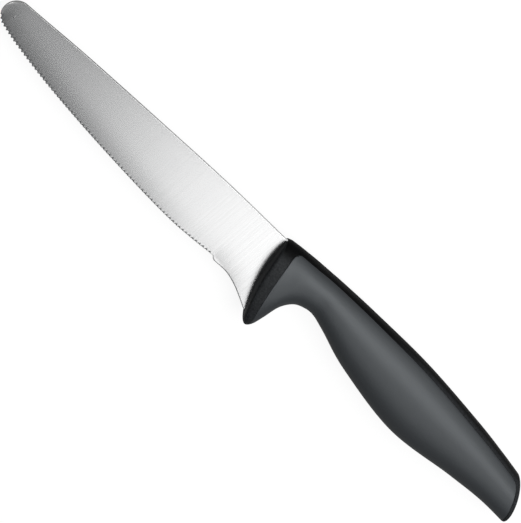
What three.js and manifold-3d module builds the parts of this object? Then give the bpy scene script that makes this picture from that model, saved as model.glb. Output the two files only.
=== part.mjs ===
// A sandwich knife: a round-tipped serrated blade whose hidden tang is moulded into a hard black core,
// with a soft grey grip moulded over the core's sides and belly.
// The knife lies on its side: X runs from tip to butt, +Y is the spine, +Z is up. Sizes in millimetres.
import * as THREE from "three";
import { mergeVertices } from "three/addons/utils/BufferGeometryUtils.js";
import Module from "manifold-3d";

const wasm = await Module();
wasm.setup();

// Blade: its length runs from the middle of the bolster's front. The heights of its spine and the depths of its
// edge are measured from its axis.
const BLADE_LENGTH = 120.3;
const TIP_RADIUS = 5.15;
const TIP_RISE = 0.15;
const SPINE_AT_HEEL = 11.1;
const SPINE_NEAR_HEEL = 10.55;
const SPINE_AT_MIDDLE = 9.05;
const SPINE_NEAR_TIP = 7.3;
const SPINE_BEHIND_TIP = 5.85;
const EDGE_BEHIND_TIP = 6.5;
const EDGE_NEAR_TIP = 8.7;
const EDGE_AT_MIDDLE = 10.55;
const EDGE_AT_DEEPEST = 11.3;
const EDGE_AT_HEEL = 9.7;
const STOCK = 1.6;
const SHOULDER_THICKNESS = 0.64;
const APEX_THICKNESS = 0.2;
const BEVEL_WIDTH = 1.8;
const PLUNGE_GAP = 0.4;

// Serrations: a row of small scallops ground into the upper face, from the tip to the plain heel.
const TOOTH_PITCH = 1.43;
const TOOTH_DEPTH = 0.26;
const SCALLOP_LENGTH = 1.35;
const SCALLOP_RADIUS = 0.75;
const SERRATIONS_START = 4;
const PLAIN_HEEL = 15;
const HEEL_STEP = 1;
const HEEL_HOLLOW = 0.95;
const HEEL_DROP = 0.6;

// Tang: what the handle hides of the steel blank.
const SHOULDER_DEPTH = 1.6;
const SHOULDER_DROP = 1.2;
const TANG_HEIGHT = 6.6;
const TANG_CENTRE = 6.6;
const TANG_END = 82;
const TANG_HOLES = 3;
const TANG_HOLE_DIAMETER = 3.6;
const TANG_HOLE_FIRST = 34;
const TANG_HOLE_LAST = 72;

// Handle: its main sections, with the place of each at the belly, how far it leans forwards up to the crest,
// its height above and its depth below the axis.
const BOLSTER_AT = 6.9;
const BOLSTER_LEAN = 9.7;
const BOLSTER_TOP = 11.3;
const BOLSTER_BOTTOM = 17.3;
const GUARD_AT = 8.7;
const GUARD_LEAN = 9.9;
const GUARD_TOP = 12;
const GUARD_BOTTOM = 18.1;
const NOTCH_AT = 21;
const NOTCH_LEAN = 5.4;
const NOTCH_TOP = 13.6;
const NOTCH_BOTTOM = -0.1;
const SWELL_AT = 68;
const SWELL_LEAN = 7.5;
const SWELL_TOP = 15;
const SWELL_BOTTOM = 8.85;
const HANDLE_LENGTH = 117.75;
const BUTT_LEAN = 7.45;
const BUTT_TOP = 10.3;
const BUTT_BOTTOM = 4.1;
const BOLSTER_WIDTH = 15.8;
const NOTCH_WIDTH = 14.2;
const SWELL_WIDTH = 16.2;
const BUTT_WIDTH = 13.6;
const SQUARENESS = 2.4;
const FRONT_CROWN = 1.85;
const FRONT_EDGE = 0.6;
const BUTT_CROWN = 1;
const BUTT_EDGE = 1.3;

// Grip: the soft layer, and the black margins of the core that it leaves bare.
const GRIP_WALL = 2;
const GRIP_CORNER = 3.4;
const BOLSTER_DEPTH_TOP = 4.4;
const BOLSTER_DEPTH_BOTTOM = 2.6;
const BAND_DEPTH_FRONT = 0.95;
const BAND_DEPTH_NOTCH = 0.65;
const BAND_DEPTH_SWELL = 1.3;
const BAND_DEPTH_BUTT = 1.45;
const BUTT_RIM = 1.5;
const CLEARANCE = 0.25;

// Fineness of the facets.
const RING_POINTS = 28;
const RING_SPACING = 3.4;
const FINE_STEPS = 400;
const ROUNDING_RINGS = 3;
const CURVE_STEPS = 6;
const BEVEL_STEPS = 48;
const SCALLOP_SIDES = 12;

// How far a cutter reaches past what it cuts.
const BEYOND = 30;

const flat = (x, y) => new THREE.Vector2(x, y);
const lift = ({ x, y }, z) => new THREE.Vector3(x, y, z);
const mix = THREE.MathUtils.lerp;

// Turn a closed geometry into a solid that can be cut and joined.
function solid(geometry) {
  const bare = geometry.clone();
  bare.deleteAttribute("normal");
  bare.deleteAttribute("uv");
  const merged = mergeVertices(bare, 1e-5);
  return new wasm.Manifold(
    new wasm.Mesh({
      numProp: 3,
      vertProperties: new Float32Array(merged.attributes.position.array),
      triVerts: new Uint32Array(merged.index.array),
    }),
  );
}

// Skin a row of like rings. They follow each other towards +X, and each goes from its top round by +Z.
function loft(rings) {
  const count = rings[0].length;
  const end = (rings.length - 1) * count;
  const index = [];
  for (let row = 0; row + 1 < rings.length; row++) {
    for (let k = 0; k < count; k++) {
      const a = row * count + k;
      const b = row * count + ((k + 1) % count);
      index.push(a, b, a + count, b, b + count, a + count);
    }
  }
  // Each end is closed by strips between the points that face each other across the ring.
  for (let k = 0; k < count / 2; k++) {
    const next = k + 1;
    const across = (count - k) % count;
    const nextAcross = count - next;
    if (k > 0) {
      index.push(next, k, across);
      index.push(end + k, end + next, end + across);
    }
    if (next < nextAcross) {
      index.push(next, across, nextAcross);
      index.push(end + across, end + next, end + nextAcross);
    }
  }
  const positions = rings.flat().flatMap((point) => point.toArray());
  const geometry = new THREE.BufferGeometry();
  geometry.setAttribute("position", new THREE.Float32BufferAttribute(positions, 3));
  geometry.setIndex(index);
  return solid(geometry);
}

// Give a flat outline a thickness, shared equally by both sides of the blade's middle plane.
function plate(shape, thickness) {
  const options = { depth: thickness, bevelEnabled: false, curveSegments: CURVE_STEPS };
  return solid(new THREE.ExtrudeGeometry(shape, options).translate(0, 0, -thickness / 2));
}

// The handle's sections lean: each joins a point of the crest to the point of the belly across from it.
function row(at, lean, top, bottom, width, band) {
  return { crest: flat(at - lean, top), belly: flat(at, -bottom), width, band };
}

// A section between two others, by its shares of the way along the crest, of the crest's change in height,
// of the way along the belly, and of the belly's change in height.
function rowBetween(a, b, crestAlong, crestUp, bellyAlong, bellyUp) {
  return {
    crest: flat(mix(a.crest.x, b.crest.x, crestAlong), mix(a.crest.y, b.crest.y, crestUp)),
    belly: flat(mix(a.belly.x, b.belly.x, bellyAlong), mix(a.belly.y, b.belly.y, bellyUp)),
    width: mix(a.width, b.width, crestUp),
    band: mix(a.band, b.band, crestAlong),
  };
}

const front = row(BOLSTER_AT, BOLSTER_LEAN, BOLSTER_TOP, BOLSTER_BOTTOM, BOLSTER_WIDTH, BAND_DEPTH_FRONT);
const guard = row(GUARD_AT, GUARD_LEAN, GUARD_TOP, GUARD_BOTTOM, BOLSTER_WIDTH, BAND_DEPTH_FRONT);
const notch = row(NOTCH_AT, NOTCH_LEAN, NOTCH_TOP, NOTCH_BOTTOM, NOTCH_WIDTH, BAND_DEPTH_NOTCH);
const swell = row(SWELL_AT, SWELL_LEAN, SWELL_TOP, SWELL_BOTTOM, SWELL_WIDTH, BAND_DEPTH_SWELL);
const butt = row(HANDLE_LENGTH, BUTT_LEAN, BUTT_TOP, BUTT_BOTTOM, BUTT_WIDTH, BAND_DEPTH_BUTT);
const rows = [
  front,
  guard,
  rowBetween(guard, notch, 0.1, 0.18, 0.114, 0.094),
  rowBetween(guard, notch, 0.25, 0.38, 0.167, 0.315),
  rowBetween(guard, notch, 0.42, 0.54, 0.224, 0.635),
  rowBetween(guard, notch, 0.6, 0.7, 0.406, 0.867),
  rowBetween(guard, notch, 0.8, 0.85, 0.667, 0.97),
  notch,
  rowBetween(notch, swell, 0.14, 0.31, 0.14, 0.174),
  rowBetween(notch, swell, 0.46, 0.76, 0.45, 0.626),
  swell,
  rowBetween(swell, butt, 0.52, 0.36, 0.49, 0.68),
  rowBetween(swell, butt, 0.79, 0.68, 0.77, 1),
  butt,
];
const lastRow = rows.length - 1;
const crestLine = new THREE.SplineCurve(rows.map((each) => each.crest));
const bellyLine = new THREE.SplineCurve(rows.map((each) => each.belly));
const sizeLine = new THREE.SplineCurve(rows.map((each) => flat(each.width, each.band)));

// The section at a share of the handle: up runs from belly to crest, and back is square to it, to the butt.
// The crown bows the front face forwards and the butt backwards, and fades out within a few rows.
function section(share) {
  const crest = crestLine.getPoint(share);
  const belly = bellyLine.getPoint(share);
  const size = sizeLine.getPoint(share);
  const up = crest.clone().sub(belly).normalize();
  const back = flat(up.y, -up.x);
  const fade = (rowsAway, reach) => Math.max(0, 1 - rowsAway / reach) ** 2;
  const crown = BUTT_CROWN * fade((1 - share) * lastRow, 2) - FRONT_CROWN * fade(share * lastRow, 4);
  return { crest, belly, up, back, crown, tall: crest.distanceTo(belly), half: size.x / 2, band: size.y };
}

// A point of a section's middle line, from 0 at the belly to 1 at the crest, moved back by a distance.
function onSection({ crest, belly, back, crown }, height, away = 0) {
  const bulge = crown * (1 - (2 * height - 1) ** 2);
  return belly.clone().lerp(crest, height).addScaledVector(back, bulge + away);
}

// One ring of the handle's skin, drawn in at the sides, belly and crest.
function ring(share, { side = 0, belly = 0, crest = 0 } = {}) {
  const at = section(share);
  const soften = (value) => Math.sign(value) * Math.abs(value) ** (2 / SQUARENESS);
  const points = [];
  for (let k = 0; k < RING_POINTS; k++) {
    const angle = (2 * Math.PI * k) / RING_POINTS;
    const height = mix(belly / at.tall, 1 - crest / at.tall, (1 + soften(Math.cos(angle))) / 2);
    points.push(lift(onSection(at, height), (at.half - side) * soften(Math.sin(angle))));
  }
  return points;
}

// The share of the handle that lies a distance behind another one, or ahead of it where that is negative.
// The distance is measured along crest or belly, whichever has gone further.
function shareBehind(share, distance) {
  const crest = crestLine.getPoint(share);
  const belly = bellyLine.getPoint(share);
  const gone = (at) =>
    Math.max(crest.distanceTo(crestLine.getPoint(at)), belly.distanceTo(bellyLine.getPoint(at)));
  const step = Math.sign(distance) / FINE_STEPS;
  let at = share;
  while (at >= 0 && at <= 1 && gone(at) < Math.abs(distance)) {
    at += step;
  }
  return at;
}

// The shares at which the handle's skin has a ring, between the rounded edges of its two ends. The first is at
// the guard's tip.
const frontRound = shareBehind(0, FRONT_EDGE);
const buttRound = shareBehind(1, -BUTT_EDGE);
const ringShares = [];
let nextRing = rows.indexOf(guard) / lastRow;
while (nextRing < shareBehind(buttRound, -RING_SPACING / 2)) {
  ringShares.push(nextRing);
  nextRing = shareBehind(nextRing, RING_SPACING);
}

// The rings that round an end's edge: from the face, drawn in by the radius, to the full section behind it.
function roundedEnd(face, full, radius) {
  const rings = [];
  for (let k = 0; k <= ROUNDING_RINGS; k++) {
    const turn = ((Math.PI / 2) * k) / ROUNDING_RINGS;
    const inset = radius * (1 - Math.sin(turn));
    const share = mix(face, full, 1 - Math.cos(turn));
    rings.push(ring(share, { side: inset, belly: inset, crest: inset }));
  }
  return rings;
}

// The whole handle's outer form.
function handleForm() {
  const body = ringShares.map((share) => ring(share));
  const frontEnd = roundedEnd(0, frontRound, FRONT_EDGE);
  const buttEnd = roundedEnd(1, buttRound, BUTT_EDGE).reverse();
  return loft([...frontEnd, ...body, ...buttEnd]);
}

// What the grip wraps: the handle's form drawn in by a wall at the sides and belly, but not at the crest.
function coreForm(wall) {
  return loft([0, ...ringShares, 1].map((share) => ring(share, { side: wall, belly: wall })));
}

// The grip's outline from the side, grown by a clearance. It runs past the belly, so the grip wraps under it.
function gripOutline(grow) {
  const first = section(0);
  const final = section(1);
  const bolsterDepth = (height) => mix(BOLSTER_DEPTH_BOTTOM, BOLSTER_DEPTH_TOP, 1 - (1 - height) ** 2);
  const frontEdge = (height) => onSection(first, height, bolsterDepth(height) - grow);
  const buttEdge = (height) => onSection(final, height, grow - BUTT_RIM);
  const topEdge = (share) => {
    const at = section(share);
    return at.crest.clone().addScaledVector(at.up, grow - at.band);
  };
  const below = ({ tall, band }, drop) => 1 - (band - grow + drop) / tall;
  const frontCorner = frontEdge(below(first, 0));
  const buttCorner = buttEdge(below(final, 0));
  const top = ringShares
    .map(topEdge)
    .filter(({ x }) => x > frontCorner.x + GRIP_CORNER && x < buttCorner.x - GRIP_CORNER)
    .reverse();
  const shares = [0, 0.25, 0.5, 0.75, 1];
  const rise = shares.map((share) => buttEdge(share * below(final, GRIP_CORNER)));
  const fall = shares.map((share) => frontEdge((1 - share) * below(first, GRIP_CORNER)));

  const shape = new THREE.Shape();
  shape.moveTo(fall.at(-1).x, fall.at(-1).y - BEYOND);
  shape.lineTo(rise[0].x, rise[0].y - BEYOND);
  shape.lineTo(rise[0].x, rise[0].y);
  shape.splineThru(rise.slice(1));
  shape.quadraticCurveTo(buttCorner.x, buttCorner.y, top[0].x, top[0].y);
  for (const { x, y } of top.slice(1)) {
    shape.lineTo(x, y);
  }
  shape.quadraticCurveTo(frontCorner.x, frontCorner.y, fall[0].x, fall[0].y);
  shape.splineThru(fall.slice(1));
  return shape;
}

// Where the blade meets the bolster's front, at its spine and at the foot of its heel.
const HEEL_FOOT_SHARE = 0.083;
const mouthTop = flat(front.crest.x, SPINE_AT_HEEL);
const mouthFoot = onSection(section(0), HEEL_FOOT_SHARE);
const bolsterBack = section(0).back;
const bolsterUp = section(0).up;
const intoBolster = (point, away) => point.clone().addScaledVector(bolsterBack, away);

// The pocket for the heel behind the bolster's front, open to the front. The steel's top slopes down in it.
function pocketOutline(grow) {
  const foot = mouthFoot.clone().addScaledVector(bolsterUp, -grow);
  return new THREE.Shape([
    flat(mouthTop.x - SHOULDER_DEPTH, SPINE_AT_HEEL + grow),
    intoBolster(foot, -SHOULDER_DEPTH),
    intoBolster(foot, SHOULDER_DEPTH + grow),
    flat(mouthTop.x + SHOULDER_DEPTH + grow, SPINE_AT_HEEL - SHOULDER_DROP + grow),
    flat(mouthTop.x + grow, SPINE_AT_HEEL + grow),
  ]);
}

// The tang, with holes that lock it into the core.
function tangOutline(grow) {
  const half = TANG_HEIGHT / 2 + grow;
  const roundAt = TANG_END - TANG_HEIGHT / 2;
  const shape = new THREE.Shape();
  shape.moveTo(front.crest.x + SHOULDER_DEPTH, TANG_CENTRE - half);
  shape.lineTo(roundAt, TANG_CENTRE - half);
  shape.absarc(roundAt, TANG_CENTRE, half, -Math.PI / 2, Math.PI / 2, false);
  shape.lineTo(front.crest.x + SHOULDER_DEPTH, TANG_CENTRE + half);
  for (let k = 0; k < TANG_HOLES; k++) {
    const hole = new THREE.Path();
    const x = mix(TANG_HOLE_FIRST, TANG_HOLE_LAST, k / (TANG_HOLES - 1));
    hole.absarc(x, TANG_CENTRE, TANG_HOLE_DIAMETER / 2 - grow, 0, 2 * Math.PI, true);
    shape.holes.push(hole);
  }
  return shape;
}

// The blade's outline: its spine, round tip, edge, and the plain heel that flares down to the bolster.
const TIP_TURN_AT_SPINE = THREE.MathUtils.degToRad(97);
const TIP_TURN_AT_EDGE = THREE.MathUtils.degToRad(256);
const tipCentre = flat(TIP_RADIUS - BLADE_LENGTH, TIP_RISE);
const onTip = (turn) => flat(Math.cos(turn), Math.sin(turn)).multiplyScalar(TIP_RADIUS).add(tipCentre);
const edgeEnd = flat(-PLAIN_HEEL, -EDGE_AT_HEEL);
// Points of the spine and the edge, each at a share of the blade's length from the bolster.
const alongBlade = (share, y) => flat(-share * BLADE_LENGTH, y);
const spinePoints = [
  alongBlade(0.25, SPINE_NEAR_HEEL),
  alongBlade(0.5, SPINE_AT_MIDDLE),
  alongBlade(0.75, SPINE_NEAR_TIP),
  alongBlade(0.9, SPINE_BEHIND_TIP),
  onTip(TIP_TURN_AT_SPINE),
];
const edgeCurve = new THREE.SplineCurve([
  onTip(TIP_TURN_AT_EDGE),
  alongBlade(0.9, -EDGE_BEHIND_TIP),
  alongBlade(0.75, -EDGE_NEAR_TIP),
  alongBlade(0.52, -EDGE_AT_MIDDLE),
  alongBlade(0.28, -EDGE_AT_DEEPEST),
  edgeEnd,
]);

function bladeOutline() {
  const heelEnd = intoBolster(mouthFoot, SHOULDER_DEPTH);
  const heelStart = flat(edgeEnd.x + HEEL_STEP, edgeEnd.y - HEEL_STEP);
  const hollow = flat(edgeEnd.x * 0.57, heelStart.y + HEEL_HOLLOW);
  const flare = flat(edgeEnd.x * 0.15, heelStart.y - HEEL_DROP);
  const shape = new THREE.Shape();
  shape.moveTo(mouthTop.x + SHOULDER_DEPTH, SPINE_AT_HEEL - SHOULDER_DROP);
  shape.lineTo(mouthTop.x, mouthTop.y);
  shape.splineThru(spinePoints);
  shape.absarc(tipCentre.x, tipCentre.y, TIP_RADIUS, TIP_TURN_AT_SPINE, TIP_TURN_AT_EDGE, false);
  shape.splineThru(edgeCurve.points.slice(1));
  shape.lineTo(heelStart.x, heelStart.y);
  shape.bezierCurveTo(hollow.x, hollow.y, flare.x, flare.y, mouthFoot.x, mouthFoot.y);
  shape.lineTo(heelEnd.x, heelEnd.y);
  return shape;
}

// Both faces are ground flat from the spine to the edge, in front of the bolster only.
const grindSlope = (STOCK - SHOULDER_THICKNESS) / 2 / (SPINE_AT_HEEL + EDGE_AT_DEEPEST);
const cheek = (y) => STOCK / 2 - grindSlope * (SPINE_AT_HEEL - y);

function grindCutter(side) {
  const plunge = [0, 0.25, 0.5, 0.75, 1].map((height) => onSection(section(0), height, -PLUNGE_GAP));
  const far = -BLADE_LENGTH - BEYOND;
  const outline = [flat(far, -BEYOND), plunge[0].clone().setY(-BEYOND), ...plunge];
  outline.push(plunge.at(-1).clone().setY(BEYOND), flat(far, BEYOND));
  const shape = new THREE.Shape(outline.map(({ x, y }) => flat(x, side * y)));
  const slab = new THREE.ExtrudeGeometry(shape, { depth: STOCK, bevelEnabled: false });
  const tilt = new THREE.Matrix4();
  tilt.set(1, 0, 0, 0, 0, 1, 0, 0, 0, side * grindSlope, 1, cheek(0), 0, 0, 0, 1);
  slab.applyMatrix4(tilt);
  return solid(side < 0 ? slab.rotateX(Math.PI) : slab);
}

// The cutting edge runs from the tip's foremost point, round under it and back to the plain heel.
const edgePath = new THREE.CurvePath();
const tipArc = [Math.PI, TIP_TURN_AT_EDGE, false];
edgePath.add(new THREE.EllipseCurve(tipCentre.x, tipCentre.y, TIP_RADIUS, TIP_RADIUS, ...tipArc));
edgePath.add(edgeCurve);
const edgeLength = edgePath.getLength();

// The edge at a distance along it, with the way into the blade and the half thickness behind the bevel.
function edgeAt(distance) {
  const share = Math.min(distance / edgeLength, 1);
  const point = edgePath.getPointAt(share);
  const tangent = edgePath.getTangentAt(share);
  const inwards = flat(-tangent.y, tangent.x);
  const half = cheek(point.y + inwards.y * BEVEL_WIDTH);
  const bevel = (depth) => mix(APEX_THICKNESS / 2, half, depth / BEVEL_WIDTH);
  return { point, tangent, inwards, bevel };
}

// What the bevel takes off one side, along the whole edge.
function bevelCutter(side) {
  const outer = -BEVEL_WIDTH / 2;
  const inner = BEVEL_WIDTH * 1.5;
  const rings = [];
  for (let step = 0; step <= BEVEL_STEPS; step++) {
    const { point, inwards, bevel } = edgeAt((edgeLength * step) / BEVEL_STEPS);
    const corner = (depth, z) => lift(point.clone().addScaledVector(inwards, depth), side * z);
    const low = [corner(inner, bevel(inner)), corner(outer, bevel(outer))];
    const high = [corner(inner, STOCK), corner(outer, STOCK)];
    rings.push(side > 0 ? [low[0], high[0], high[1], low[1]] : [low[0], low[1], high[1], high[0]]);
  }
  return loft(rings);
}

// One scallop: a small round grinding stroke that enters at the edge and runs out on the upper face.
function scallopCutter(distance) {
  const { point, tangent, inwards, bevel } = edgeAt(distance);
  const from = lift(point.clone().addScaledVector(inwards, TOOTH_DEPTH), -bevel(TOOTH_DEPTH));
  const to = lift(point.clone().addScaledVector(inwards, SCALLOP_LENGTH), bevel(SCALLOP_LENGTH));
  const stroke = to.clone().sub(from).normalize();
  const aside = lift(tangent, 0);
  const outwards = aside.clone().cross(stroke);
  const centre = from.clone().add(to).multiplyScalar(0.5).addScaledVector(outwards, SCALLOP_RADIUS);
  const place = new THREE.Matrix4().makeBasis(aside, stroke, outwards).setPosition(centre);
  const length = SCALLOP_LENGTH * 4;
  const wheel = new THREE.CylinderGeometry(SCALLOP_RADIUS, SCALLOP_RADIUS, length, SCALLOP_SIDES);
  return solid(wheel.applyMatrix4(place));
}

function makeBlade() {
  let blade = plate(bladeOutline(), STOCK).add(plate(tangOutline(0), STOCK));
  for (const side of [1, -1]) {
    blade = blade.subtract(grindCutter(side)).subtract(bevelCutter(side));
  }
  for (let at = SERRATIONS_START; at < edgeLength; at += TOOTH_PITCH) {
    blade = blade.subtract(scallopCutter(at));
  }
  return blade;
}

// The hard core: bolster, spine band and butt in one moulding, which also fills the tang's holes.
// It is recessed for the grip.
function makeCore() {
  const thickness = STOCK + 2 * CLEARANCE;
  const wrap = plate(gripOutline(CLEARANCE), SWELL_WIDTH + BEYOND);
  const recess = wrap.subtract(coreForm(GRIP_WALL + CLEARANCE));
  const pocket = plate(pocketOutline(CLEARANCE), thickness).add(plate(tangOutline(CLEARANCE), thickness));
  return handleForm().subtract(recess).subtract(pocket);
}

// The soft grip: one moulding round both sides and the belly.
function makeGrip() {
  const wrap = plate(gripOutline(0), SWELL_WIDTH + BEYOND);
  return handleForm().intersect(wrap).subtract(coreForm(GRIP_WALL));
}

function mesh(name, shape, finish) {
  const { numProp, vertProperties, triVerts } = shape.getMesh();
  const geometry = new THREE.BufferGeometry();
  geometry.setAttribute("position", new THREE.BufferAttribute(vertProperties, numProp));
  geometry.setIndex(new THREE.BufferAttribute(triVerts, 1));
  const made = new THREE.Mesh(geometry, new THREE.MeshStandardMaterial(finish));
  made.name = name;
  return made;
}

const satinSteel = { color: 0xb9bcbd, roughness: 0.32, metalness: 1 };
const blackPlastic = { color: 0x0d0d0e, roughness: 0.45, metalness: 0 };
const softGrey = { color: 0x55595b, roughness: 0.6, metalness: 0 };

const pieces = new THREE.Group();
pieces.add(mesh("blade", makeBlade(), satinSteel));
pieces.add(mesh("handle_core", makeCore(), blackPlastic));
pieces.add(mesh("soft_grip", makeGrip(), softGrey));

// The knife's origin is under the middle of its box, on the surface that it lies on.
const box = new THREE.Box3().setFromObject(pieces);
const middle = box.getCenter(new THREE.Vector3());
pieces.position.set(-middle.x, -middle.y, -box.min.z);

const knife = new THREE.Group();
knife.add(pieces);

export default knife;
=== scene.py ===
# A sandwich knife that lies on its side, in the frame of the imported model, in metres:
# X runs from the tip to the butt, Y from the cutting edge to the spine, and Z is up.
from bisect import bisect
from math import cos, pi, radians, sin, sqrt

import bmesh
import bpy
from mathutils import Matrix, Quaternion, Vector


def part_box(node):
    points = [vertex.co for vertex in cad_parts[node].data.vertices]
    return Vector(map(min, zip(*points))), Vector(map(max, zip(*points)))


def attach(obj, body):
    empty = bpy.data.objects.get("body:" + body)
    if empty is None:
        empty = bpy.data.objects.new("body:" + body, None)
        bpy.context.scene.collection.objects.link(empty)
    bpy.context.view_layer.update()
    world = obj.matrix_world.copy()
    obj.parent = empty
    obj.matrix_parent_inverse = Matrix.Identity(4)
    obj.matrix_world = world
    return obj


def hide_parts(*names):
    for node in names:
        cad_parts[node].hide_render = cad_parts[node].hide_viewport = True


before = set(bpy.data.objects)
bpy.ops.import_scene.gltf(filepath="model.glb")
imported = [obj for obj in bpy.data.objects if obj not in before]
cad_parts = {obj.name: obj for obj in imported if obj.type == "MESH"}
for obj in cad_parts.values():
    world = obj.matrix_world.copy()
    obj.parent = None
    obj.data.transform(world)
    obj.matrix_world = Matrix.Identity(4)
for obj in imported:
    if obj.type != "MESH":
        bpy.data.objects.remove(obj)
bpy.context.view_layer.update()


# Blade
# One piece of stainless sheet, ground flat from the spine to the edge on both sides. A belt finishes both
# sides and leaves fine lines from spine to edge. A small wheel then grinds scallops into one side of the
# edge, up to the plain heel. The rest of the sheet, the tang, is hidden in the handle.
mm = 0.001

# The knife's own sizes, here and in the sections of the handle, are in millimetres.
blade_length = 120.3
tip_radius = 5.15
tip_rise = 0.15
spine_at_heel = 11.1
edge_at_deepest = 11.3
stock = 1.6
shoulder_thickness = 0.64
apex_thickness = 0.12
bevel_width = 10.0
bevel_curve = 3.4
bevel_run_in = 5.0
bevel_run_out = 30.0
bevel_turn = 10.0
nearby_step = 0.3
nearby_steps = 20
spine_round = 0.05
spine_round_steps = 3
tooth_pitch = 1.43
tip_tooth_depth = 0.5
heel_tooth_depth = 0.09
tip_scallop_length = 1.2
heel_scallop_length = 0.42
scallop_radius = 0.72
scallop_fade = 60.0
serrations_start = 4.0
heel_depth = 1.5
heel_round = 0.1
heel_round_run_in = 2.0
thinnest_half = 0.02

# The knife's datum is the middle of the bolster's front, on the blade's axis and in its middle plane.
blade_low, blade_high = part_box("blade")
datum = Vector((
    blade_low.x + blade_length * mm,
    blade_high.y - spine_at_heel * mm,
    (blade_low.z + blade_high.z) / 2,
))


def place_on_knife(x, y, z):
    """A point of the knife's own axes, in millimetres from its datum, in the frame's metres."""
    return datum + Vector((x, y, z)) * mm


def smooth_line(points):
    """A curve through points, as a function of its share from 0 to 1 that gives a vector."""
    knots = [Vector(point) for point in points]
    last = len(knots) - 1

    def at(share):
        k = min(int(share * last), last - 1)
        t = share * last - k
        before = knots[max(k - 1, 0)]
        after = knots[min(k + 2, last)]
        a, b = knots[k], knots[k + 1]
        leave = (b - before) / 2
        arrive = (after - a) / 2
        return (
            (2 * a - 2 * b + leave + arrive) * t**3
            + (3 * b - 3 * a - 2 * leave - arrive) * t**2
            + leave * t
            + a
        )

    return at


def samples(line, count):
    """Points of a curve at equal shares of it."""
    return [line(k / count) for k in range(count + 1)]


def walk(path):
    """Follow a chain of points: its length, and a function of the distance that gives point and heading."""
    reached = [0.0]
    for a, b in zip(path, path[1:]):
        reached.append(reached[-1] + (b - a).length)

    def at(distance):
        k = min(max(bisect(reached, distance) - 1, 0), len(path) - 2)
        a, b = path[k], path[k + 1]
        heading = (b - a).normalized()
        return a + heading * (distance - reached[k]), heading

    return reached[-1], at


def tip_arc(start, stop, count=80):
    """The round tip, from one angle to another, in degrees from the direction of the handle."""
    centre = Vector((tip_radius - blade_length, tip_rise))
    angles = [radians(start + (stop - start) * k / count) for k in range(count + 1)]
    return [centre + tip_radius * Vector((cos(angle), sin(angle))) for angle in angles]


mouth_top = Vector((-2.95, spine_at_heel))
mouth_foot = Vector((5.0, -15.1))
back_from_mouth = Vector((0.949, 0.316))
into_handle = back_from_mouth * heel_depth

# The tip's arc starts at its foremost point and meets the spine and the edge at these angles.
foremost = 180
arc_meets_spine = 97
arc_meets_edge = 256
spine_steps, edge_steps, heel_steps = 60, 120, 40

spine_arc = tip_arc(foremost, arc_meets_spine)
spine_line = smooth_line([spine_arc[-1], (-108, 5.85), (-90, 7.3), (-60, 9.05), (-30, 10.55), mouth_top])
spine_points = spine_arc + samples(spine_line, spine_steps)[1:]
spine_length, spine_at = walk(spine_points + [mouth_top + into_handle])

edge_end = Vector((-15, -9.7))
edge_arc = tip_arc(foremost, arc_meets_edge)
edge_line = smooth_line([
    edge_arc[-1], (-108, -6.5), (-90, -8.7), (-62.4, -10.55), (-33.6, -11.3), edge_end])
edge_points = edge_arc + samples(edge_line, edge_steps)[1:]
edge_length, edge_at = walk(edge_points)

heel_line = smooth_line([
    (-14, -10.7), (-11, -10.5), (-7.7, -10.5), (-3.5, -11.5), (0.7, -13.15), mouth_foot])
heel_points = samples(heel_line, heel_steps) + [mouth_foot + into_handle]
heel_length, heel_at = walk([edge_end] + heel_points)

# The bevel's own line keeps straight on past the step between the edge and the heel.
points_in_step = 16
bevel_at = walk(edge_points + heel_points[points_in_step:])[1]

grind_slope = (stock - shoulder_thickness) / 2 / (spine_at_heel + edge_at_deepest)


def mix(a, b, share):
    return a + (b - a) * share


def ease_in(share):
    """A share from 0 to 1 that starts and ends softly."""
    share = min(1, max(0, share))
    return share * share * (3 - 2 * share)


def cheek(y):
    """Half the thickness of the flat-ground blade at a height."""
    return stock / 2 - grind_slope * (spine_at_heel - y)


# The stations along the edge, close together in the scallops and wider round the tip and along the heel.
# The first one lies just beside the tip's point.
tip_stations, scallop_stations, last_stations, heel_stations = 9, 8, 3, 24
beside_tip = 0.1
scallops = round((edge_length - serrations_start) / tooth_pitch)
first_scallop = serrations_start - tooth_pitch / 2
last_scallop = first_scallop + scallops * tooth_pitch
plain_edge = edge_length - last_scallop
stations = [first_scallop * (k + beside_tip) / tip_stations for k in range(tip_stations)]
stations += [
    first_scallop + tooth_pitch * k / scallop_stations for k in range(scallops * scallop_stations + 1)]
stations += [last_scallop + plain_edge * k / last_stations for k in range(1, last_stations + 1)]
stations += [edge_length + heel_length * k / heel_stations for k in range(1, heel_stations + 1)]

# How far the points of the cheek lie from the spine to the bevel, and those of the bevel from the edge,
# as shares.
bevel_steps = 13
cheek_shares = (0.005, 0.3, 0.65, 0.97)
bevel_shares = [(k / bevel_steps) ** 2 for k in range(bevel_steps, -1, -1)]


def station_at(distance):
    """At a distance along the edge: its point, the way into the blade, and how high the scallop's hollow
    has risen beside its middle."""
    point, heading = edge_at(min(distance, edge_length))
    inwards = Vector((-heading.y, heading.x))
    if distance > edge_length:
        return heel_at(distance - edge_length)[0], inwards, None
    if not first_scallop <= distance <= last_scallop:
        return point, inwards, scallop_radius
    aside = ((distance - first_scallop) / tooth_pitch) % 1 * tooth_pitch - tooth_pitch / 2
    return point, inwards, scallop_radius - sqrt(scallop_radius**2 - aside**2)


def bevel_share(distance):
    """How fully the bevel is ground at a distance along the edge. It runs in at the tip and out on the
    heel."""
    return ease_in(distance / bevel_run_in) * (1 - ease_in((distance - edge_length) / bevel_run_out))


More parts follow.
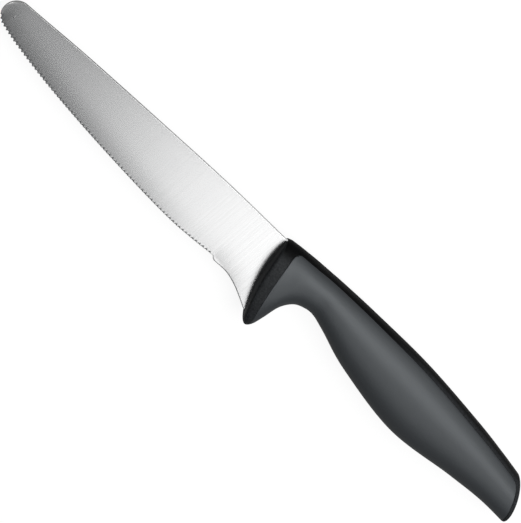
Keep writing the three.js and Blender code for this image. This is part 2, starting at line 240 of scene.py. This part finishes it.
def blade_half(distance):
    """One station's outline from the spine to the edge: points of the upper face, then of the lower one."""
    edge, inwards, rise = station_at(distance)
    spine = spine_at(spine_length * distance / (edge_length + heel_length))[0]
    down = (edge - spine).normalized()
    width = (edge - spine).length
    bevel = min(bevel_width, width / 2)
    past_edge = max(0, distance - edge_length)
    past_tip = ease_in(distance / bevel_turn)
    way_in = (-down).lerp(inwards, past_tip * (1 - past_edge / heel_length)).normalized()
    spots = [max(0, distance + nearby_step * k) for k in range(-nearby_steps, nearby_steps + 1)]
    edge_nearby = [(bevel_at(spot)[0], bevel_share(spot)) for spot in spots]
    edge_nearby.append((edge, bevel_share(distance)))

    def half_at(point):
        """Half the thickness at a point: the flat cheek, which the bevel thins towards the edge."""
        thinned = max(
            share * max(0, 1 - (point - spot).length / bevel_width) ** bevel_curve
            for spot, share in edge_nearby)
        full = cheek(point.y)
        return full - (full - apex_thickness / 2) * thinned

    spine_half = half_at(spine)
    ease = min(spine_round, width / 8, spine_half / 2)
    upper = []
    for k in range(spine_round_steps + 1):
        turn = pi / 2 * k / spine_round_steps
        upper.append((spine + down * ease * (1 - cos(turn)), spine_half - ease * (1 - sin(turn))))
    shoulder = edge + way_in * bevel
    for share in cheek_shares:
        point = upper[spine_round_steps][0].lerp(shoulder, share)
        upper.append((point, half_at(point)))
    lower = [(point, -half) for point, half in upper]

    notch, fall, slope, lift = 0, 0, 0, stock
    along_teeth = ease_in(distance / scallop_fade)
    tooth_depth = mix(tip_tooth_depth, heel_tooth_depth, along_teeth)
    scallop_length = mix(tip_scallop_length, heel_scallop_length, along_teeth)
    if rise is not None:
        fall = -half_at(edge + way_in * tooth_depth)
        slope = (half_at(edge + way_in * scallop_length) - fall) / (scallop_length - tooth_depth)
        lift = rise * sqrt(1 + slope**2)
        bevel_slope = (-fall - half_at(edge)) / tooth_depth
        notch = max(0, tooth_depth - lift / (slope + bevel_slope))
    heel_ease = heel_round * ease_in(past_edge / heel_round_run_in)
    for share in bevel_shares:
        depth = mix(notch, bevel, share)
        point = edge + way_in * depth
        half = max(thinnest_half, half_at(point) - heel_ease * max(0, 1 - depth / heel_round))
        scallop = fall + slope * (depth - tooth_depth) + lift
        upper.append((point, max(-half, min(half, scallop))))
        lower.append((point, -half))
    return upper, lower


def skin(rows, columns, place):
    """A grid whose rows follow each other along a piece and whose columns go round it, placed point by
    point. Each vertex keeps its row and column, so that areas of the skin can be picked by them."""
    bm = bmesh.new()
    bmesh.ops.create_grid(bm, x_segments=columns, y_segments=rows - 1, size=1)
    row_of = bm.verts.layers.int.new("row")
    column_of = bm.verts.layers.int.new("column")
    for vert in bm.verts:
        vert[column_of] = round((vert.co.x + 1) / 2 * columns)
        vert[row_of] = round((vert.co.y + 1) / 2 * (rows - 1))
        vert.co = place(vert[row_of], vert[column_of] % columns)
    return bm


def finish_piece(name, bm, material):
    """Close the seams of a skin, turn its faces out and make it an object of the scene."""
    bmesh.ops.remove_doubles(bm, verts=bm.verts, dist=1e-7)
    open_edges = [edge for edge in bm.edges if edge.is_boundary]
    bmesh.ops.holes_fill(bm, edges=open_edges, sides=0)
    bmesh.ops.recalc_face_normals(bm, faces=bm.faces)
    for face in bm.faces:
        face.smooth = True
    mesh = bpy.data.meshes.new(name)
    bm.to_mesh(mesh)
    bm.free()
    mesh.materials.append(material)
    piece = bpy.data.objects.new(name, mesh)
    bpy.context.scene.collection.objects.link(piece)
    return piece


def add_node(tree, kind, inputs=None, **settings):
    """A node of a material, with its settings made and its inputs set or linked."""
    node = tree.nodes.new(kind)
    for setting, value in settings.items():
        setattr(node, setting, value)
    for socket, value in (inputs or {}).items():
        if isinstance(value, bpy.types.NodeSocket):
            tree.links.new(value, node.inputs[socket])
        else:
            node.inputs[socket].default_value = value
    return node


def new_material(name):
    """A material with its tree, its shader and the piece's own coordinates."""
    material = bpy.data.materials.new(name)
    material.use_nodes = True
    tree = material.node_tree
    coordinates = add_node(tree, "ShaderNodeTexCoord").outputs["Object"]
    return material, tree, tree.nodes["Principled BSDF"], coordinates


satin_steel, tree, shader, coordinates = new_material("satin_steel")
fine_lines = add_node(tree, "ShaderNodeMapping", {"Vector": coordinates, "Scale": (4200, 30, 30)})
fine = add_node(tree, "ShaderNodeTexNoise", {
    "Vector": fine_lines.outputs["Vector"], "Scale": 1, "Detail": 2})
broad_lines = add_node(tree, "ShaderNodeMapping", {"Vector": coordinates, "Scale": (1500, 12, 12)})
broad = add_node(tree, "ShaderNodeTexNoise", {
    "Vector": broad_lines.outputs["Vector"], "Scale": 1, "Detail": 2})
lines = add_node(tree, "ShaderNodeMath", {0: fine.outputs["Fac"], 1: broad.outputs["Fac"]}, operation="ADD")
tone = add_node(tree, "ShaderNodeMapRange", {
    "Value": lines.outputs["Value"], "From Min": 0.6, "From Max": 1.4, "To Min": 0.605, "To Max": 0.645})
gloss = add_node(tree, "ShaderNodeMapRange", {
    "Value": lines.outputs["Value"], "From Min": 0.6, "From Max": 1.4, "To Min": 0.24, "To Max": 0.22})
# The spine's face: a painted paleness in the base colour, which is painted light, and a dull, less metallic
# finish.
dull_spine_and_painted_light = add_node(tree, "ShaderNodeAttribute", attribute_name="dull_spine_and_painted_light")
painted_pale_spine = add_node(tree, "ShaderNodeMath", {
    0: dull_spine_and_painted_light.outputs["Fac"], 1: 0.22, 2: tone.outputs["Result"]}, operation="MULTIPLY_ADD")
frosted = add_node(tree, "ShaderNodeMath", {
    0: dull_spine_and_painted_light.outputs["Fac"], 1: -0.8, 2: 1.0}, operation="MULTIPLY_ADD")
dulled = add_node(tree, "ShaderNodeMath", {
    0: dull_spine_and_painted_light.outputs["Fac"], 1: 0.65, 2: gloss.outputs["Result"]}, operation="MULTIPLY_ADD")
relief = add_node(tree, "ShaderNodeBump", {
    "Height": lines.outputs["Value"], "Strength": 0.1, "Distance": 0.000002})
steel_colour = add_node(tree, "ShaderNodeCombineColor", {
    "Red": painted_pale_spine.outputs["Value"], "Green": painted_pale_spine.outputs["Value"], "Blue": painted_pale_spine.outputs["Value"]})
tree.links.new(steel_colour.outputs["Color"], shader.inputs["Base Color"])
tree.links.new(dulled.outputs["Value"], shader.inputs["Roughness"])
tree.links.new(relief.outputs["Normal"], shader.inputs["Normal"])
tree.links.new(frosted.outputs["Value"], shader.inputs["Metallic"])

outlines = [blade_half(distance) for distance in stations]
across = len(outlines[0][0])


def blade_point(row, column):
    """A point of the blade's skin: the upper face from spine to edge, then the lower face back again."""
    upper, lower = outlines[row]
    point, z = upper[column] if column < across else lower[2 * across - 1 - column]
    return place_on_knife(point.x, point.y, z)


blade = finish_piece("blade_steel", skin(len(stations), 2 * across, blade_point), satin_steel)

# The spine's face keeps a dull, rough finish that is not metallic. Its colour is also painted paler, most
# at
# the heel and fading out towards the tip: painted light that follows how brightly the blade is lit along
# its length.
spine_facing = 0.9
spine_marks = blade.data.attributes.new("dull_spine_and_painted_light", "FLOAT", "FACE")
for face, mark in zip(blade.data.polygons, spine_marks.data):
    from_tip = (face.center.x - blade_low.x) / (blade_length * mm)
    mark.value = ease_in(from_tip) if face.normal.y > spine_facing else 0.0
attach(blade, "root")
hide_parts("blade")


# Handle core
# One moulding of hard black plastic round the tang: the bolster with its finger guard, the band along the
# spine, and the rim round the butt. Its sides and belly are recessed for the soft grip.
front_edge = 0.9
front_crown = 1.85
front_crown_rows = 4
butt_edge = 1.3
butt_crown = 0.9
butt_crown_rows = 2
squareness = 2.4
slot_gap = 0.1
slot_top = 0.972
slot_bottom = 0.068
slot_depth = 1.4
slot_closes_at = 0.02
recess_depth = 1.0
rim_round = 0.14
# Where the painted shade on the band fades out behind the bolster, and how far band and rim face the spine.
band_shade_fade_start = 38.0
band_shade_fade_length = 32.0
band_shade_facing = (0.3, 0.6)
rim_shade_facing = (0.88, 0.98)


def handle_row(at, lean, top, bottom, width, band):
    """A leaning section: crest x and y, belly x and y, width, and how far the black band reaches below the
    crest."""
    return Vector((at - lean, top, at, -bottom, width, band))


def row_between(a, b, crest_along, crest_up, belly_along, belly_up):
    """A section between two others, by its shares of their changes at the crest and at the belly."""
    shares = (crest_along, crest_up, belly_along, belly_up, crest_up, crest_along)
    return Vector([p + (q - p) * share for p, q, share in zip(a, b, shares)])


front = handle_row(6.9, 9.7, 11.3, 17.3, 15.8, 0.95)
guard = handle_row(8.7, 9.9, 12.0, 18.07, 15.8, 0.95)
notch = handle_row(21, 5.4, 13.6, -0.1, 14.2, 0.65)
swell = handle_row(68, 7.5, 14.99, 8.85, 16.19, 1.3)
butt = handle_row(117.71, 7.45, 10.3, 4.1, 13.6, 1.45)
handle_rows = [
    front,
    guard,
    row_between(guard, notch, 0.1, 0.18, 0.114, 0.094),
    row_between(guard, notch, 0.25, 0.38, 0.167, 0.315),
    row_between(guard, notch, 0.42, 0.54, 0.224, 0.635),
    row_between(guard, notch, 0.6, 0.7, 0.406, 0.867),
    row_between(guard, notch, 0.8, 0.85, 0.667, 0.97),
    notch,
    row_between(notch, swell, 0.14, 0.31, 0.14, 0.174),
    row_between(notch, swell, 0.46, 0.76, 0.45, 0.626),
    swell,
    row_between(swell, butt, 0.52, 0.36, 0.49, 0.68),
    row_between(swell, butt, 0.79, 0.68, 0.77, 1.0),
    butt,
]
handle_line = smooth_line(handle_rows)
last_row = len(handle_rows) - 1


def soften(value):
    """The sine or cosine of a squarish oval."""
    return abs(value) ** (2 / squareness) * (1 if value > 0 else -1)


def section(share):
    """The handle's section at a share of its length: belly, crest, the way up, the way back, crown and
    width."""
    crest_x, crest_y, belly_x, belly_y, width, band = handle_line(share)
    crest = Vector((crest_x, crest_y))
    belly = Vector((belly_x, belly_y))
    up = (crest - belly).normalized()
    fade_front = max(0, 1 - share * last_row / front_crown_rows) ** 2
    fade_butt = max(0, 1 - (1 - share) * last_row / butt_crown_rows) ** 2
    crown = butt_crown * fade_butt - front_crown * fade_front
    return belly, crest, up, Vector((up.y, -up.x)), crown, width


def from_side(share, height):
    """A point of the handle seen from its side, at a height from 0 at the belly to 1 at the crest."""
    belly, crest, up, back, crown, width = section(share)
    return belly.lerp(crest, height) + back * crown * (1 - (2 * height - 1) ** 2)


def on_handle(share, angle, inset=0.0):
    """A point of the handle's skin, at a share of its length and an angle from the crest round by +Z,
    drawn in by a distance from the sides, crest and belly."""
    belly, crest, up, back, crown, width = section(share)
    margin = inset / (crest - belly).length
    height = mix(margin, 1 - margin, (1 + soften(cos(angle))) / 2)
    point = from_side(share, height)
    return place_on_knife(point.x, point.y, (width / 2 - inset) * soften(sin(angle)))


share_step = 0.0005


def share_behind(share, distance):
    """The share of the handle that lies a distance behind another one, or ahead of it where the distance
    is negative."""
    start = handle_line(share)
    at = share
    step = share_step if distance > 0 else -share_step
    while 0 <= at <= 1:
        gone = handle_line(at) - start
        if max(gone.xy.length, Vector((gone[2], gone[3])).length) >= abs(distance):
            break
        at += step
    return min(max(at, 0), 1)


# The grip's outline on the skin, in its own two shares: along from 0 at the grip's front edge to 1 at its
# butt edge, and round from 0 at the black band to 1 at the belly. Outside the grip, along runs on to -1 at
# the bolster's front edge and 2 at the butt, and round to -1 at the crest.
bolster_depth_top = 4.4
bolster_depth_bottom = 2.6
butt_rim = 1.5
front_corner = (0.036, 0.14)
butt_corner = (0.03, 0.13)
front_rounding = share_behind(0, front_edge)
butt_rounding = share_behind(1, -butt_edge)


def behind_end(end, point):
    """How far a point, seen from the side, lies behind one end's face, and how high on it."""
    belly, crest, up, back, crown, width = section(end)
    height = (point - belly).dot(up) / (crest - belly).length
    return (point - belly).dot(back) - crown * (1 - (2 * height - 1) ** 2), height


def past_front_edge(point):
    """Whether a point, seen from the side, lies behind the grip's front edge."""
    away, height = behind_end(0, point)
    return away > mix(bolster_depth_bottom, bolster_depth_top, 1 - (1 - height) ** 2)


def past_butt_edge(point):
    """Whether a point, seen from the side, lies behind the grip's butt edge."""
    return behind_end(1, point)[0] > -butt_rim


halvings = 24


def share_where(height, is_past, low, high):
    """The share of the handle at which the points at a height get past a line."""
    for step in range(halvings):
        middle = (low + high) / 2
        if is_past(from_side(middle, height)):
            high = middle
        else:
            low = middle
    return low


# The shares at which the grip's two end edges lie, from the belly to the crest. Each is looked for in its
# own end of the handle.
edge_heights = 60
front_end = 0.4
butt_end = 0.8
near_crest = -3
heights = [k / edge_heights for k in range(edge_heights + 1)]
front_edge_shares = [share_where(height, past_front_edge, 0, front_end) for height in heights]
butt_edge_shares = [share_where(height, past_butt_edge, butt_end, 1) for height in heights]


def along_list(values, spot):
    """The value at a spot between the places of a list."""
    k = min(int(spot), len(values) - 2)
    return mix(values[k], values[k + 1], spot - k)


def band_angle(share):
    """The angle from the crest at which the grip begins."""
    crest_x, crest_y, belly_x, belly_y, width, band = handle_line(share)
    tall = Vector((crest_x - belly_x, crest_y - belly_y)).length
    cosine = (1 - 2 * band / tall) ** (squareness / 2)
    return Vector((cosine, sqrt(1 - cosine**2))).angle(Vector((1, 0)))


# Equal steps along the handle, measured where crest or belly runs faster.
even_step = 0.5
even_shares = [0.0]
while even_shares[-1] < 1:
    even_shares.append(share_behind(even_shares[-1], even_step))


def even_spot(share):
    """The place of a share of the handle among the equal steps."""
    k = min(bisect(even_shares, share) - 1, len(even_shares) - 2)
    return k + (share - even_shares[k]) / (even_shares[k + 1] - even_shares[k])


def even_share(start, stop, along):
    """The share of the handle at an even way along from one share to another."""
    return along_list(even_shares, mix(even_spot(start), even_spot(stop), along))


def corner_pull(along, round_by):
    """How far the outline's rounded corners pull a point of the skin, along and round."""
    pull = [0.0, 0.0]
    for heading, (reach_along, reach_round) in ((1, front_corner), (-1, butt_corner)):
        inside = along if heading > 0 else 1 - along
        a = min(1, max(0, 1 - inside / reach_along))
        b = min(1, max(0, 1 - round_by / reach_round))
        fade = max(0, 1 + min(0, inside)) * max(0, 1 + min(0, round_by))
        pull[0] += heading * reach_along * a * (1 - sqrt(1 - b * b / 2)) * fade
        pull[1] += reach_round * b * (1 - sqrt(1 - a * a / 2)) * fade
    return pull


def on_skin(along, round_by):
    """The share of the handle and the angle from the crest of a point of the skin in the grip's shares."""
    pull_along, pull_round = corner_pull(along, round_by)
    along += pull_along
    round_by += pull_round
    inside = min(1, max(0, along))
    band_share = even_share(front_edge_shares[near_crest], butt_edge_shares[near_crest], inside)
    edge_angle = band_angle(band_share)
    angle = edge_angle * (1 + round_by) if round_by < 0 else mix(edge_angle, pi, round_by)
    spot = (1 + soften(cos(angle))) / 2 * edge_heights
    grip_front = along_list(front_edge_shares, spot)
    grip_butt = along_list(butt_edge_shares, spot)
    if along < 0:
        return mix(front_rounding, grip_front, 1 + along), angle
    if along > 1:
        return mix(grip_butt, butt_rounding, along - 1), angle
    return even_share(grip_front, grip_butt, along), angle


front_steps, grip_steps, butt_steps = 8, 150, 6
band_steps, side_steps = 8, 40
along_stops = [k / front_steps - 1 for k in range(front_steps)]
along_stops += [k / grip_steps for k in range(grip_steps)]
along_stops += [1 + k / butt_steps for k in range(butt_steps + 1)]
round_stops = [k / band_steps - 1 for k in range(band_steps)]
round_stops += [k / side_steps for k in range(side_steps + 1)]
half_round = len(round_stops) - 1


def side_and_stop(column):
    """Which side of the handle a column of the skin is on, and its stop from the crest to the belly."""
    if column <= half_round:
        return 1, round_stops[column]
    return -1, round_stops[2 * half_round - column]


rounding_rings = 5


def rounded_end(face, full, radius):
    """The rings that round an end's edge, as pairs of a share of the handle and an inset, from its face."""
    turns = [pi / 2 * k / rounding_rings for k in range(rounding_rings)]
    return [(mix(face, full, 1 - cos(turn)), radius * (1 - sin(turn))) for turn in turns]


front_rings = rounded_end(0, front_rounding, front_edge)
butt_rings = rounded_end(1, butt_rounding, butt_edge)[::-1]
slot_rings = 2
core_rows = slot_rings + len(front_rings) + len(along_stops) + len(butt_rings) + 1
skin_start = slot_rings + len(front_rings)
butt_start = skin_start + len(along_stops)


def slot_point(side, angle, depth):
    """A point of the slot that the blade fills in the bolster's front."""
    height = min(slot_top, max(slot_bottom, (1 + soften(cos(angle))) / 2))
    point = from_side(0, height) + section(0)[3] * depth
    half = cheek(point.y) + slot_gap
    is_open = sin(angle) > slot_closes_at
    return place_on_knife(point.x, point.y, side * half if is_open else 0.0)


def core_point(row, column):
    """A point of the core's skin. Its rows are the slot, the rounded front, the long sides and the butt."""
    side, stop = side_and_stop(column)
    if skin_start <= row < butt_start:
        share, angle = on_skin(along_stops[row - skin_start], stop)
        return on_handle(share, side * angle)
    if row < skin_start:
        angle = on_skin(-1, stop)[1]
        if row < slot_rings:
            return slot_point(side, angle, slot_depth if row == 0 else 0.0)
        share, inset = front_rings[row - slot_rings]
        return on_handle(share, side * angle, inset)
    angle = on_skin(2, stop)[1]
    if row == core_rows - 1:
        share, inset = butt_rings[-1]
        flat_end = on_handle(share, side * angle, inset)
        flat_end.z = datum.z
        return flat_end
    share, inset = butt_rings[row - butt_start]
    return on_handle(share, side * angle, inset)


def grip_area(bm):
    """The faces of a skin that lie inside the grip's outline."""
    row_of = bm.verts.layers.int["row"]
    column_of = bm.verts.layers.int["column"]
    first = skin_start + front_steps
    rows = range(first, first + grip_steps + 1)
    columns = range(band_steps, 2 * half_round - band_steps + 1)
    return [
        face
        for face in bm.faces
        if all(vert[row_of] in rows and vert[column_of] in columns for vert in face.verts)
    ]


black_plastic, tree, shader, coordinates = new_material("black_plastic")
grain = add_node(tree, "ShaderNodeTexNoise", {"Vector": coordinates, "Scale": 1800, "Detail": 3})
relief = add_node(tree, "ShaderNodeBump", {
    "Height": grain.outputs["Fac"], "Strength": 0.7, "Distance": 0.00018})
gloss = add_node(tree, "ShaderNodeMapRange", {
    "Value": grain.outputs["Fac"], "From Min": 0.3, "From Max": 0.7, "To Min": 0.32, "To Max": 0.42})
tree.links.new(gloss.outputs["Result"], shader.inputs["Roughness"])
tree.links.new(relief.outputs["Normal"], shader.inputs["Normal"])
speckle = add_node(tree, "ShaderNodeMapRange", {
    "Value": grain.outputs["Fac"], "From Min": 0.35, "From Max": 0.65, "To Min": 0.7, "To Max": 1.3})
# Painted shade on the band and rim, which darkens the base colour there.
painted_band_shade = add_node(tree, "ShaderNodeAttribute", attribute_name="painted_band_shade")
unshaded_share = add_node(tree, "ShaderNodeMath", {
    0: painted_band_shade.outputs["Fac"], 1: -0.9, 2: 1.0}, operation="MULTIPLY_ADD")
speckled = add_node(tree, "ShaderNodeMath", {
    0: unshaded_share.outputs["Value"], 1: speckle.outputs["Result"]}, operation="MULTIPLY")
black = add_node(tree, "ShaderNodeVectorMath", {
    0: (0.022, 0.0236, 0.0252), "Scale": speckled.outputs["Value"]}, operation="SCALE")
tree.links.new(black.outputs["Vector"], shader.inputs["Base Color"])
shader.inputs["Specular IOR Level"].default_value = 0.05


def outer_edges(faces):
    """The edges round an area of faces."""
    area = set(faces)
    edges = {edge for face in faces for edge in face.edges}
    return [edge for edge in edges if sum(face in area for face in edge.link_faces) == 1]


def round_edges(bm, edges, radius):
    """Round edges by a radius in millimetres."""
    bmesh.ops.bevel(
        bm, geom=edges, offset=radius * mm, offset_type="OFFSET", segments=3, profile=0.5,
        affect="EDGES", material=-1)


bm = skin(core_rows, 2 * half_round, core_point)
bmesh.ops.recalc_face_normals(bm, faces=bm.faces)
panel = grip_area(bm)
rim = outer_edges(panel)
sunk = bmesh.ops.extrude_face_region(bm, geom=panel)["geom"]
bm.normal_update()
for vert in [element for element in sunk if isinstance(element, bmesh.types.BMVert)]:
    vert.co -= vert.normal * recess_depth * mm
bmesh.ops.delete(bm, geom=[face for face in panel if face.is_valid], context="FACES_ONLY")
round_edges(bm, [edge for edge in rim if edge.is_valid], rim_round)
core = finish_piece("core_plastic", bm, black_plastic)


def ease_between(value, limits):
    """How far a value has come from one limit to the other."""
    low, high = limits
    return ease_in((value - low) / (high - low))


# Painted shade: the base colour is made darker on the band near the bolster and along its outer rim, where
# the skin turns away from the lamps. Band and rim are told from the sides by how far the skin faces the
# spine.
band_shade_marks = core.data.attributes.new("painted_band_shade", "FLOAT", "POINT")
for vert, mark in zip(core.data.vertices, band_shade_marks.data):
    behind_bolster = (vert.co.x - datum.x) / mm
    near_bolster = 1 - ease_in((behind_bolster - band_shade_fade_start) / band_shade_fade_length)
    on_band = ease_between(vert.normal.y, band_shade_facing)
    on_rim = ease_between(vert.normal.y, rim_shade_facing)
    mark.value = max(near_bolster * on_band, on_rim)
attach(core, "root")
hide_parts("handle_core")


# Soft grip
# A layer of soft grey rubber, moulded over the core's sides and belly in one piece. It bonds to the recess
# and lies flush with the black round it, with a fine parting line between the two.
grip_wall = 0.9
parting_gap = 0.03

soft_grey, tree, shader, coordinates = new_material("soft_grey")
grain = add_node(tree, "ShaderNodeTexNoise", {"Vector": coordinates, "Scale": 7000, "Detail": 2})
relief = add_node(tree, "ShaderNodeBump", {
    "Height": grain.outputs["Fac"], "Strength": 0.25, "Distance": 0.00003})
tree.links.new(relief.outputs["Normal"], shader.inputs["Normal"])
shader.inputs["Base Color"].default_value = (0.032, 0.0352, 0.0384, 1)
shader.inputs["Roughness"].default_value = 0.43
shader.inputs["Specular IOR Level"].default_value = 0.52
shader.inputs["Specular Tint"].default_value = (0.92, 0.97, 1, 1)

bm = skin(core_rows, 2 * half_round, core_point)
bmesh.ops.recalc_face_normals(bm, faces=bm.faces)
panel = set(grip_area(bm))
bmesh.ops.delete(bm, geom=[face for face in bm.faces if face not in panel], context="FACES")
gap = bmesh.ops.inset_region(bm, faces=bm.faces, thickness=parting_gap * mm, use_boundary=True)
bmesh.ops.delete(bm, geom=gap["faces"], context="FACES")
outside = list(bm.faces)
rim = [edge for edge in bm.edges if edge.is_boundary]
bmesh.ops.solidify(bm, geom=outside, thickness=grip_wall * mm)
round_edges(bm, [edge for edge in rim if edge.is_valid], rim_round)
grip = finish_piece("grip_rubber", bm, soft_grey)
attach(grip, "root")
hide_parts("soft_grip")


# Floor
# A wide sheet of pale, matt card that the knife lies on. To the camera it glows white, with a soft shadow
# next to the knife, and the steel and the plastic mirror a little of that glow.
floor_half = 3.0
pale_floor, tree, shader, coordinates = new_material("pale_floor")
shader.inputs["Base Color"].default_value = (0.14, 0.14, 0.14, 1)
shader.inputs["Roughness"].default_value = 0.9
shader.inputs["Specular IOR Level"].default_value = 0.0
path = add_node(tree, "ShaderNodeLightPath")
mirrored = add_node(tree, "ShaderNodeMath", {
    0: path.outputs["Is Glossy Ray"], 1: 0.15}, operation="MULTIPLY")
glow_strength = add_node(tree, "ShaderNodeMath", {
    0: path.outputs["Is Camera Ray"], 1: 0.9, 2: mirrored.outputs["Value"]}, operation="MULTIPLY_ADD")
glow = add_node(tree, "ShaderNodeEmission", {"Strength": glow_strength.outputs["Value"]})
both = add_node(tree, "ShaderNodeAddShader", {0: shader.outputs["BSDF"], 1: glow.outputs["Emission"]})
tree.links.new(both.outputs["Shader"], tree.nodes["Material Output"].inputs["Surface"])

bm = bmesh.new()
bmesh.ops.create_grid(bm, x_segments=1, y_segments=1, size=floor_half)
floor_mesh = bpy.data.meshes.new("floor")
bm.to_mesh(floor_mesh)
bm.free()
floor_mesh.materials.append(pale_floor)
floor = bpy.data.objects.new("floor", floor_mesh)
bpy.context.scene.collection.objects.link(floor)


# Light
# A soft box high above the spine lights the handle's upper side, and a dimmer one lower down fills the
# side next to the black band. A panel hangs over the bolster, and its slanted edge shades the blade from
# the heel to the tip.
def soft_box(name, place, aim, size, power, turn=0):
    """A rectangular lamp that faces a point, turned about its own axis by degrees. Places are in metres."""
    lamp = bpy.data.lights.new(name, "AREA")
    lamp.shape = "RECTANGLE"
    lamp.size, lamp.size_y = size
    lamp.energy = power
    box = bpy.data.objects.new(name, lamp)
    box.location = place
    facing = (Vector(aim) - Vector(place)).to_track_quat("-Z", "Y")
    box.rotation_euler = (facing @ Quaternion((0, 0, 1), radians(turn))).to_euler()
    bpy.context.scene.collection.objects.link(box)


grip_middle = (0.05, 0, 0)
soft_box("above_spine", place=(0.25, 0.37, 1.03), aim=grip_middle, size=(1.3, 0.62), power=9.8)
soft_box("behind_spine", place=(0.25, 0.964, 0.626), aim=grip_middle, size=(1.8, 0.9), power=5.8)
soft_box(
    "above_bolster", place=(0.343, -0.23, 0.9), aim=(0.343, -0.23, 0), size=(0.33, 0.75), power=1.3,
    turn=18)

world = bpy.data.worlds.new("room")
bpy.context.scene.world = world
world.use_nodes = True
room_path = add_node(world.node_tree, "ShaderNodeLightPath")
room_light = add_node(world.node_tree, "ShaderNodeMapRange", {
    "Value": room_path.outputs["Is Glossy Ray"], "To Min": 0.09, "To Max": 0.17})
world.node_tree.links.new(
    room_light.outputs["Result"], world.node_tree.nodes["Background"].inputs["Strength"])
world.node_tree.nodes["Background"].inputs["Color"].default_value = (0.98, 1, 1.02, 1)

bpy.context.scene.view_settings.view_transform = "Standard"


# Camera
# It looks down at the knife from the side of the tip and the spine, through a long lens that hardly shows
# any perspective. It is turned so that the knife lies across the picture from corner to corner.
camera_distance = 1.4
aim_along = -2.99
aim_across = -0.06
to_camera = Vector((-0.2837, 0.2419, 0.9279)).normalized()
along_picture = Vector((0.9589, 0.0716, 0.2745)).normalized()
across_picture = to_camera.cross(along_picture)
aim = datum + (along_picture * aim_along + across_picture * aim_across) * mm
right = (along_picture + across_picture).normalized()
up = to_camera.cross(right)
camera_data = bpy.data.cameras.new("camera")
camera_data.sensor_fit = "HORIZONTAL"
camera_data.sensor_width = 36
camera_data.lens = 303.9
camera = bpy.data.objects.new("camera", camera_data)
turned = Matrix((right, up, to_camera)).transposed().to_4x4()
camera.matrix_world = Matrix.Translation(aim + to_camera * camera_distance) @ turned
bpy.context.scene.collection.objects.link(camera)
bpy.context.scene.camera = camera
